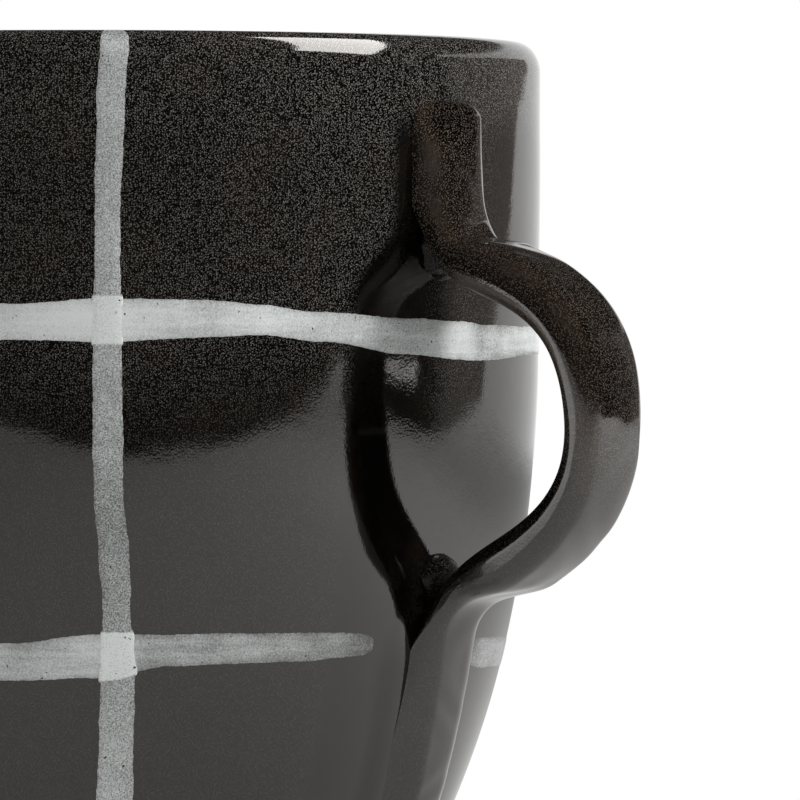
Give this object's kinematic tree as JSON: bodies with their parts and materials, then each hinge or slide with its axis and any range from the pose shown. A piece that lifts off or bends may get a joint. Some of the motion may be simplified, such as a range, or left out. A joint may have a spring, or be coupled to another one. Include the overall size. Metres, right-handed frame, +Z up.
{
  "type": "milk jug",
  "caption": "Dark glazed stoneware milk jug with a pulled pouring lip, a bent strap handle luted to the wall and a brushed windowpane check of pale strokes.",
  "frame": {"origin": "centre of the flat base, on the jug's axis", "axes": "+Z up along the jug's axis, +X towards the handle, -X towards the pouring lip"},
  "size_m": [0.1288, 0.1012, 0.1015],
  "materials": {
    "dark_glaze": "gloss, near-black brown glaze with a fine grain",
    "handle_glaze": "gloss, the same glaze, browner where it runs thin over the edges",
    "slip": "gloss, slip under the same glaze",
    "pale_brushwork": "satin, grey-white brushed strokes"
  },
  "bodies": {
    "root": {"jug_body": "dark_glaze", "strap_handle": "handle_glaze", "upper_slip_joint": "slip", "lower_slip_joint": "slip", "upper_ring_stroke": "pale_brushwork", "lower_ring_stroke": "pale_brushwork", "upright_stroke_1": "pale_brushwork", "upright_stroke_2": "pale_brushwork", "upright_stroke_3": "pale_brushwork", "upright_stroke_4": "pale_brushwork", "upright_stroke_5": "pale_brushwork", "upright_stroke_6": "pale_brushwork", "upright_stroke_7": "pale_brushwork"}
  },
  "joints": []
}
